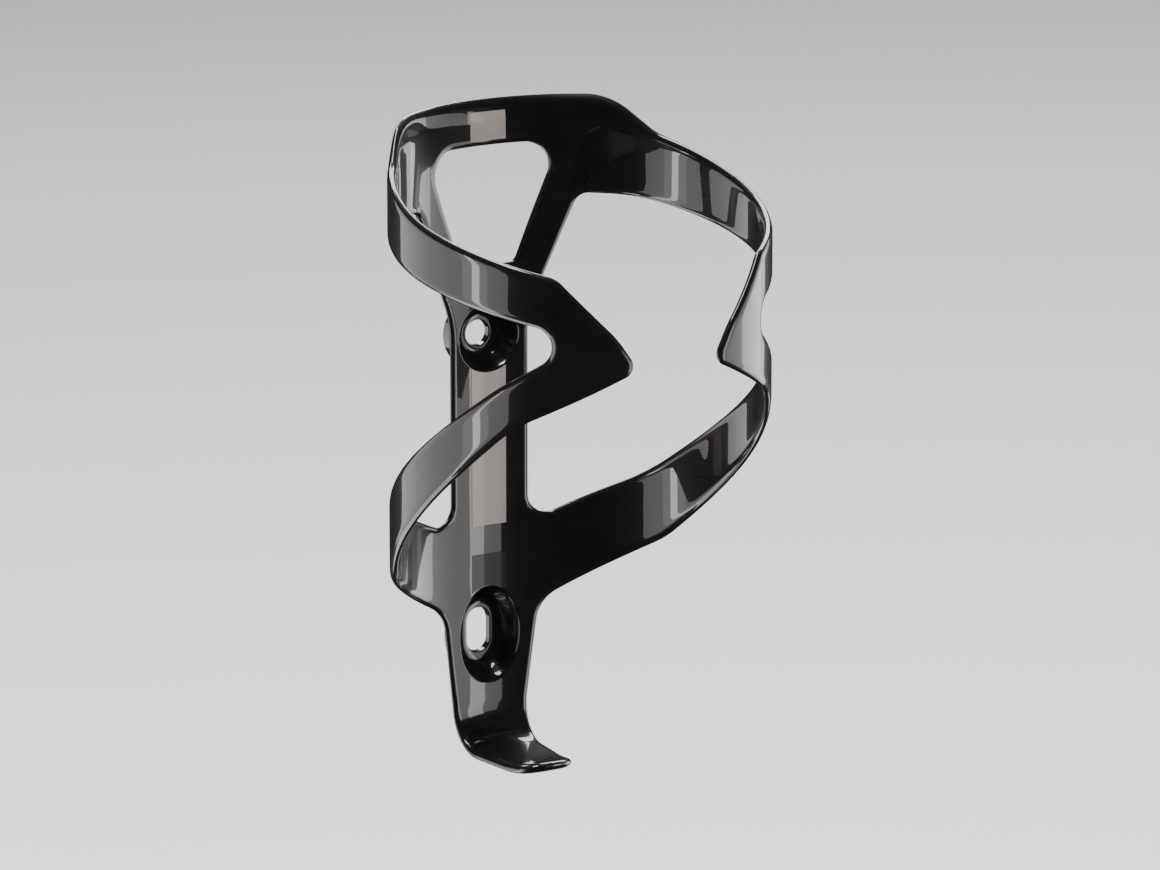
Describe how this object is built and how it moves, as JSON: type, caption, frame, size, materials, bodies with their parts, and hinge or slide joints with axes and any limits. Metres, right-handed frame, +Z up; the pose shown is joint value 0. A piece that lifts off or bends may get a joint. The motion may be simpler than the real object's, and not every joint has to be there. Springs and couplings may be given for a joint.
{
  "type": "water bottle cage",
  "caption": "Side-wrapping carbon bottle cage: back spine with bolt cups, open hoop, wrap-round arms with sprung thumbs and a foot that carries the bottle.",
  "frame": {"origin": "on the mounting plane (rear faces of the two bolt cups), midway between the two frame bolts", "axes": "+Z up along the bottle axis and the line of the bolts, +Y from the bottle towards the frame tube, -Y the open front, +X to the right for a viewer who looks along +Y"},
  "size_m": [0.0778, 0.0806, 0.1388],
  "materials": {
    "clear_coated_carbon": "near-black carbon laminate under a deep gloss clear coat",
    "silver_foil": "light silver print under the clear coat",
    "grey_foil": "dark grey print under the clear coat"
  },
  "bodies": {
    "root": {"top_hoop": "clear_coated_carbon", "right_strut": "clear_coated_carbon", "left_strut": "clear_coated_carbon", "spine": "clear_coated_carbon", "right_upper_arm": "clear_coated_carbon", "left_upper_arm": "clear_coated_carbon", "right_thumb": "clear_coated_carbon", "left_thumb": "clear_coated_carbon", "right_lower_arm": "clear_coated_carbon", "left_lower_arm": "clear_coated_carbon", "yoke": "clear_coated_carbon", "neck": "clear_coated_carbon", "bottle_foot": "clear_coated_carbon", "upper_bolt_cup": "clear_coated_carbon", "lower_bolt_cup": "clear_coated_carbon", "hoop_badge": "silver_foil", "spine_stripe": "silver_foil", "short_stripe": "grey_foil"}
  },
  "joints": []
}
